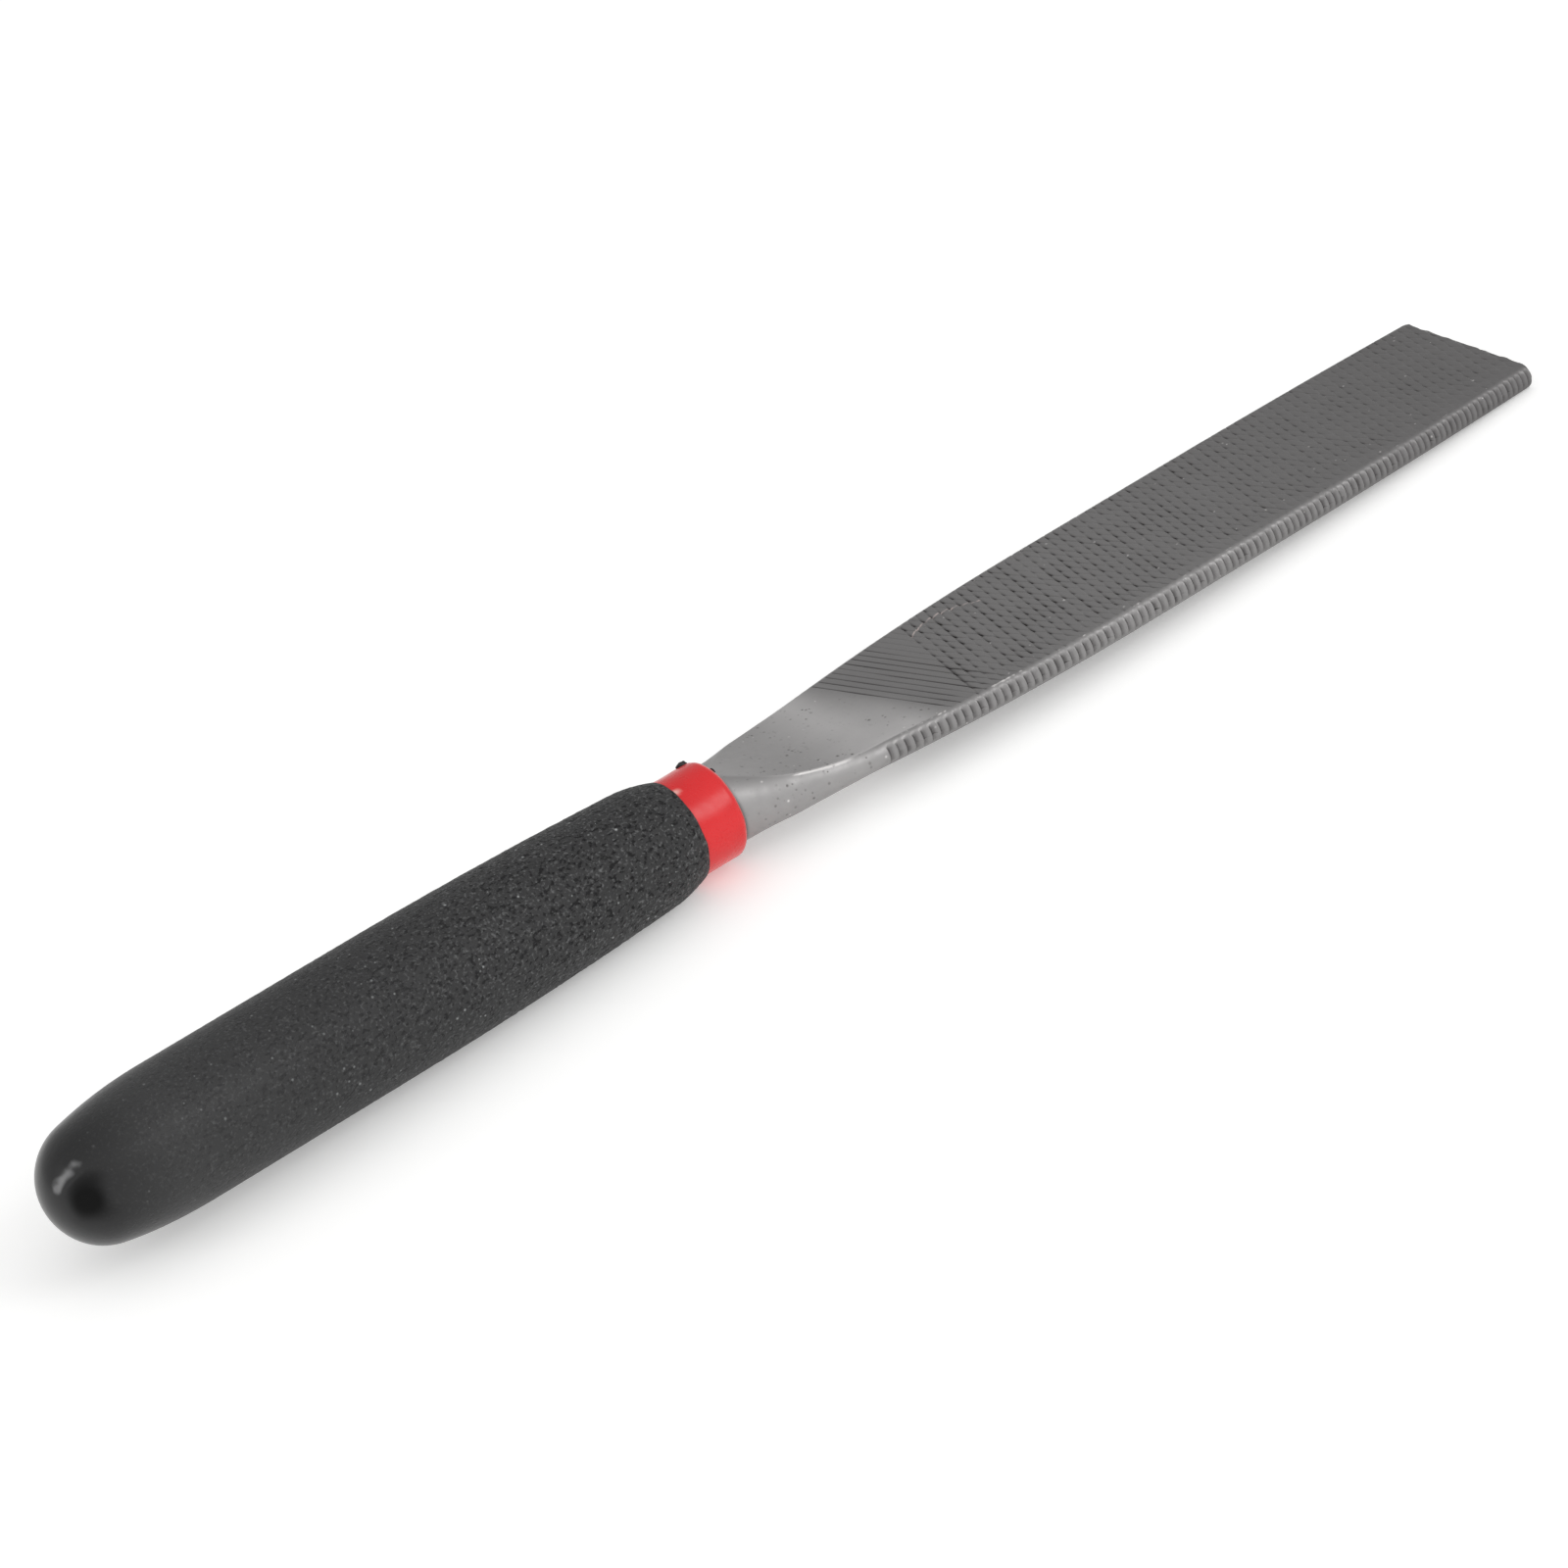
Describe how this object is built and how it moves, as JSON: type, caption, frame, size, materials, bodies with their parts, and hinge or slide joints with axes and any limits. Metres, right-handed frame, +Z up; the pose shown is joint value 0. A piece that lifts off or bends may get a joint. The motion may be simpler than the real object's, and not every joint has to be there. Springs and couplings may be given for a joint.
{
  "type": "flat file",
  "caption": "Small flat hand file with a square tip, rounded cut edges, a flattened neck and a dipped foam-covered handle.",
  "frame": {"origin": "on the bench under the middle of the tool's length, as it lies on its grip and the lower edge of its tip", "axes": "+X runs along the tool from the handle to the tip, +Y across the blade, +Z up. The tool's own axis leans 2.598 degrees nose-down from +X, so the blade's flats face +Z and -Z turned by that much about Y."},
  "size_m": [0.17, 0.02, 0.0151],
  "materials": {
    "file_steel": "forged and ground carbon steel, cut with fine teeth over the blade, bare and satin",
    "red_dip": "smooth satin red dipped vinyl",
    "black_foam": "matt black foamed vinyl dip with a fine grain"
  },
  "bodies": {
    "root": {"steel_file": "file_steel", "inner_sleeve": "red_dip", "outer_grip": "black_foam"}
  },
  "joints": []
}
